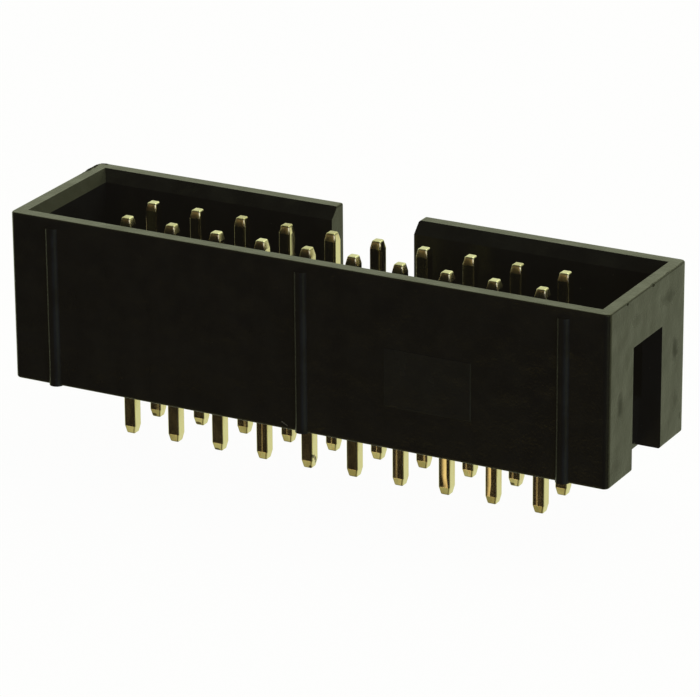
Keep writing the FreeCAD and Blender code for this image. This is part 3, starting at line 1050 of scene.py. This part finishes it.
def make_studio_light(settings):
    """Surroundings of a pale sweep behind the part, a table below it and a dark room in front of it."""
    world = bpy.data.worlds.new("Studio")
    bpy.context.scene.world = world
    world.use_nodes = True
    tree = world.node_tree
    tree.nodes.clear()
    direction = put(tree, "ShaderNodeTexCoord").outputs["Generated"]
    right, away, up = parts_of(tree, direction)

    # The sweep reaches further round on the left than on the right
    to_left = product(tree, right, -LEFT_REACH)
    to_right = product(tree, right, -RIGHT_REACH)
    turned = calculate(tree, "ADD", away, calculate(tree, "MAXIMUM", to_left, to_right))
    behind = ramp(tree, turned, *BEHIND)
    in_front = rest_of(tree, behind)
    high = ramp(tree, right, *RIGHT_SIDE, settings.sweep_high, settings.sweep_high * SWEEP_RIGHT)
    sweep = ramp(tree, up, *EYE_LEVEL, settings.sweep_low, high)
    foot = ramp(tree, up, *FOOT_LEVEL, 1.0, SWEEP_FOOT)
    pale = scaled(tree, settings.light_tint, product(tree, sweep, foot, behind))

    left_table = patch_of_light(tree, direction, *LEFT_TABLE)
    right_table = patch_of_light(tree, direction, *RIGHT_TABLE)
    table_level = calculate(tree, "MAXIMUM", left_table, right_table)
    table = scaled(tree, settings.table_colour, table_level)

    # The dark room glows a little just above the eye, except on its far left
    room = scaled(tree, settings.room_colour, in_front)
    eye_level = product(tree, ramp(tree, up, *GLOW_FOOT), ramp(tree, up, *GLOW_HEAD))
    glow_side = product(tree, in_front, ramp(tree, right, *GLOW_LEFT))
    glow = scaled(tree, settings.glow_colour, product(tree, eye_level, glow_side))

    window_level = product(tree, patch_of_light(tree, direction, *WINDOW), settings.window_strength)
    window = scaled(tree, settings.window_colour, window_level)
    lamp_level = product(tree, patch_of_light(tree, direction, *LAMP), settings.lamp_strength)
    lamp = scaled(tree, settings.lamp_colour, lamp_level)

    light = vector_of(tree, "ADD", pale, vector_of(tree, "ADD", room, glow))
    light = vector_of(tree, "ADD", light, vector_of(tree, "ADD", window, lamp))
    light = vector_of(tree, "ADD", light, table)
    studio = put(tree, "ShaderNodeBackground", {"Color": light, "Strength": 1.0}).outputs[0]
    backdrop = {"Color": opaque(settings.floor_colour), "Strength": BACKDROP_LIGHT}
    plain = put(tree, "ShaderNodeBackground", backdrop).outputs[0]
    seen = put(tree, "ShaderNodeLightPath").outputs["Is Camera Ray"]
    surface = put(tree, "ShaderNodeMixShader", {0: seen, 1: studio, 2: plain}).outputs[0]
    put(tree, "ShaderNodeOutputWorld", {"Surface": surface})


def make_softbox(settings):
    """A broad soft light above and behind the part, to its right."""
    lamp = bpy.data.lights.new("softbox", "AREA")
    lamp.shape = "RECTANGLE"
    lamp.size = SOFTBOX_LENGTH
    lamp.size_y = SOFTBOX_WIDTH
    lamp.energy = settings.softbox_power
    lamp.color = settings.light_tint
    softbox = add_object("softbox", lamp)
    softbox.location = SOFTBOX_PLACE
    softbox.rotation_euler = (-softbox.location).to_track_quat("-Z", "Y").to_euler()


def make_camera(settings):
    """The camera at the photograph's angle, from the middle of the board face."""
    turn, rise, roll = settings.camera_turn, settings.camera_rise, settings.camera_roll
    back = Vector((math.sin(turn) * math.cos(rise), -math.cos(turn) * math.cos(rise), math.sin(rise)))
    level_right = Vector((math.cos(turn), math.sin(turn), 0.0))
    level_up = back.cross(level_right)
    right = level_right * math.cos(roll) + level_up * math.sin(roll)
    up = level_up * math.cos(roll) - level_right * math.sin(roll)
    place = right * settings.camera_right + up * settings.camera_up + back * settings.camera_distance

    data = bpy.data.cameras.new("camera")
    data.sensor_width = SENSOR_WIDTH
    data.lens = settings.focal_length
    data.clip_start = NEAREST
    data.clip_end = FARTHEST
    camera = add_object("camera", data)
    camera.matrix_world = Matrix.Translation(place) @ Matrix((right, up, back)).transposed().to_4x4()
    bpy.context.scene.camera = camera


class BOXHEADER_PT_panel(bpy.types.Panel):
    """Lists the steps that finish the header"""

    bl_label = "Box Header"
    bl_idname = "BOXHEADER_PT_panel"
    bl_space_type = "VIEW_3D"
    bl_region_type = "UI"
    bl_category = "Box Header"

    def draw(self, context):
        for operator, group in STEPS:
            box = self.layout.box()
            box.operator(operator.bl_idname)
            settings = getattr(context.scene, group)
            for name in settings.bl_rna.properties.keys():
                if name not in ("rna_type", "name"):
                    box.prop(settings, name)


STEPS = (
    (BOXHEADER_OT_housing, "box_header_housing"),
    (BOXHEADER_OT_contacts, "box_header_contacts"),
    (BOXHEADER_OT_flash, "box_header_flash"),
    (BOXHEADER_OT_stage, "box_header_stage"),
)
SETTINGS = {
    "box_header_housing": BoxHeaderHousing,
    "box_header_contacts": BoxHeaderContacts,
    "box_header_flash": BoxHeaderFlash,
    "box_header_stage": BoxHeaderStage,
}
CLASSES = (*SETTINGS.values(), *(operator for operator, _ in STEPS), BOXHEADER_PT_panel)


def register():
    for item in CLASSES:
        bpy.utils.register_class(item)
    for name, kind in SETTINGS.items():
        setattr(bpy.types.Scene, name, PointerProperty(type=kind))


def unregister():
    for name in SETTINGS:
        delattr(bpy.types.Scene, name)
    for item in reversed(CLASSES):
        bpy.utils.unregister_class(item)


def main():
    """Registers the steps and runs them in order."""
    register()
    bpy.ops.box_header.housing()
    bpy.ops.box_header.contacts()
    bpy.ops.box_header.flash()
    bpy.ops.box_header.stage()


if __name__ == "__main__":
    main()
